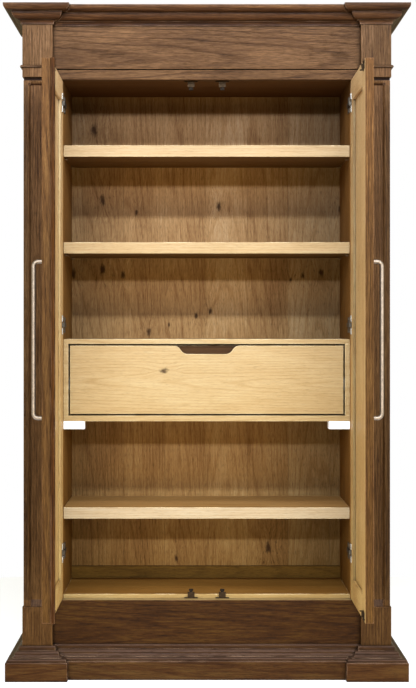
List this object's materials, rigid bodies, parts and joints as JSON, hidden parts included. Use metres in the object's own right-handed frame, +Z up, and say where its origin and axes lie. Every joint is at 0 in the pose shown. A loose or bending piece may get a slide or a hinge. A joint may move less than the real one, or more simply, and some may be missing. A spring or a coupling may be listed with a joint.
{
  "type": "armoire",
  "caption": "Tall oak armoire with breakfront cornice and plinth, framed doors on concealed hinges, thick shelves, an inner drawer and long bar handles.",
  "frame": {"origin": "on the floor, under the middle of the armoire's outer box as it stands with its doors open", "axes": "+X to the right as seen from the front, +Y to the back, +Z up; the doors face -Y"},
  "size_m": [1.28, 0.9226, 2.132],
  "materials": {
    "dark_oak": "brown stained oak, open grain, low sheen",
    "door_oak": "brown stained oak, lighter on the inner face",
    "light_oak": "pale natural oak, low sheen",
    "inner_oak": "natural knotty oak, matt",
    "drawer_wood": "plain pale wood, matt",
    "white_blocks": "white, matt",
    "handle_metal": "warm brushed nickel",
    "hinge_steel": "nickel plated",
    "runner_steel": "zinc plated",
    "catch_steel": "zinc plated",
    "roller_plastic": "pale plastic"
  },
  "bodies": {
    "carcase": {"left_post": "dark_oak", "right_post": "dark_oak", "base_blocks": "dark_oak", "frieze_blocks": "dark_oak", "neck_beads": "dark_oak", "frieze_board": "dark_oak", "header_rail": "dark_oak", "apron_rail": "dark_oak", "front_plinth": "dark_oak", "left_plinth": "dark_oak", "right_plinth": "dark_oak", "front_base_moulding": "dark_oak", "left_base_moulding": "dark_oak", "right_base_moulding": "dark_oak", "front_cornice": "dark_oak", "left_cornice": "dark_oak", "right_cornice": "dark_oak", "cap_board": "dark_oak", "left_outer_side": "dark_oak", "right_outer_side": "dark_oak", "upper_shelf": "light_oak", "middle_shelf": "light_oak", "lower_shelf": "light_oak", "case_top": "light_oak", "case_bottom": "light_oak", "case_sides": "light_oak", "floor_board": "light_oak", "ceiling_board": "light_oak", "left_side_lining": "inner_oak", "right_side_lining": "inner_oak", "back_boards": "inner_oak", "back_cleat": "inner_oak", "case_blocks": "white_blocks", "hinge_arms": "hinge_steel", "shelf_pins": "hinge_steel", "runner_rails": "runner_steel", "catch_cases": "catch_steel"},
    "left_door": {"left_door_stiles": "door_oak", "left_door_rails": "door_oak", "left_door_panel": "door_oak", "door_astragal": "dark_oak", "left_handle": "handle_metal", "left_hinges": "hinge_steel", "left_strikes": "catch_steel"},
    "right_door": {"right_door_stiles": "door_oak", "right_door_rails": "door_oak", "right_door_panel": "door_oak", "right_handle": "handle_metal", "right_hinges": "hinge_steel", "right_strikes": "catch_steel"},
    "drawer": {"drawer_front": "light_oak", "drawer_walls": "drawer_wood", "drawer_bottom": "drawer_wood", "runner_slides": "runner_steel"},
    "runner_middle": {"runner_middles": "runner_steel"},
    "roller_bottom_left": {"bottom_left_roller": "roller_plastic"},
    "roller_bottom_right": {"bottom_right_roller": "roller_plastic"},
    "roller_top_left": {"top_left_roller": "roller_plastic"},
    "roller_top_right": {"top_right_roller": "roller_plastic"}
  },
  "joints": [
    {"name": "left_door_swing", "type": "hinge", "parent": "carcase", "child": "left_door", "pos_m": [-0.4735, 0.02075, 1.074], "axis": [0, 0, -1], "range_deg": [-90, 0]},
    {"name": "right_door_swing", "type": "hinge", "parent": "carcase", "child": "right_door", "pos_m": [0.4735, 0.02075, 1.074], "axis": [0, 0, 1], "range_deg": [-90, 0]},
    {"name": "drawer_slide", "type": "slide", "parent": "carcase", "child": "drawer", "axis": [0, -1, 0], "range_m": [0, 0.3]},
    {"name": "runner_middle_slide", "type": "slide", "parent": "carcase", "child": "runner_middle", "axis": [0, -1, 0], "range_m": [0, 0.15]},
    {"name": "bottom_left_catch", "type": "slide", "parent": "carcase", "child": "roller_bottom_left", "axis": [0, 0, -1], "range_m": [0, 0.003], "stiffness_N_per_m": 500, "springref_m": -0.003},
    {"name": "bottom_right_catch", "type": "slide", "parent": "carcase", "child": "roller_bottom_right", "axis": [0, 0, -1], "range_m": [0, 0.003], "stiffness_N_per_m": 500, "springref_m": -0.003},
    {"name": "top_left_catch", "type": "slide", "parent": "carcase", "child": "roller_top_left", "axis": [0, 0, 1], "range_m": [0, 0.003], "stiffness_N_per_m": 500, "springref_m": -0.003},
    {"name": "top_right_catch", "type": "slide", "parent": "carcase", "child": "roller_top_right", "axis": [0, 0, 1], "range_m": [0, 0.003], "stiffness_N_per_m": 500, "springref_m": -0.003}
  ],
  "couplings": [
    {"joint": "runner_middle_slide", "follows": "drawer_slide", "ratio": 0.5}
  ]
}
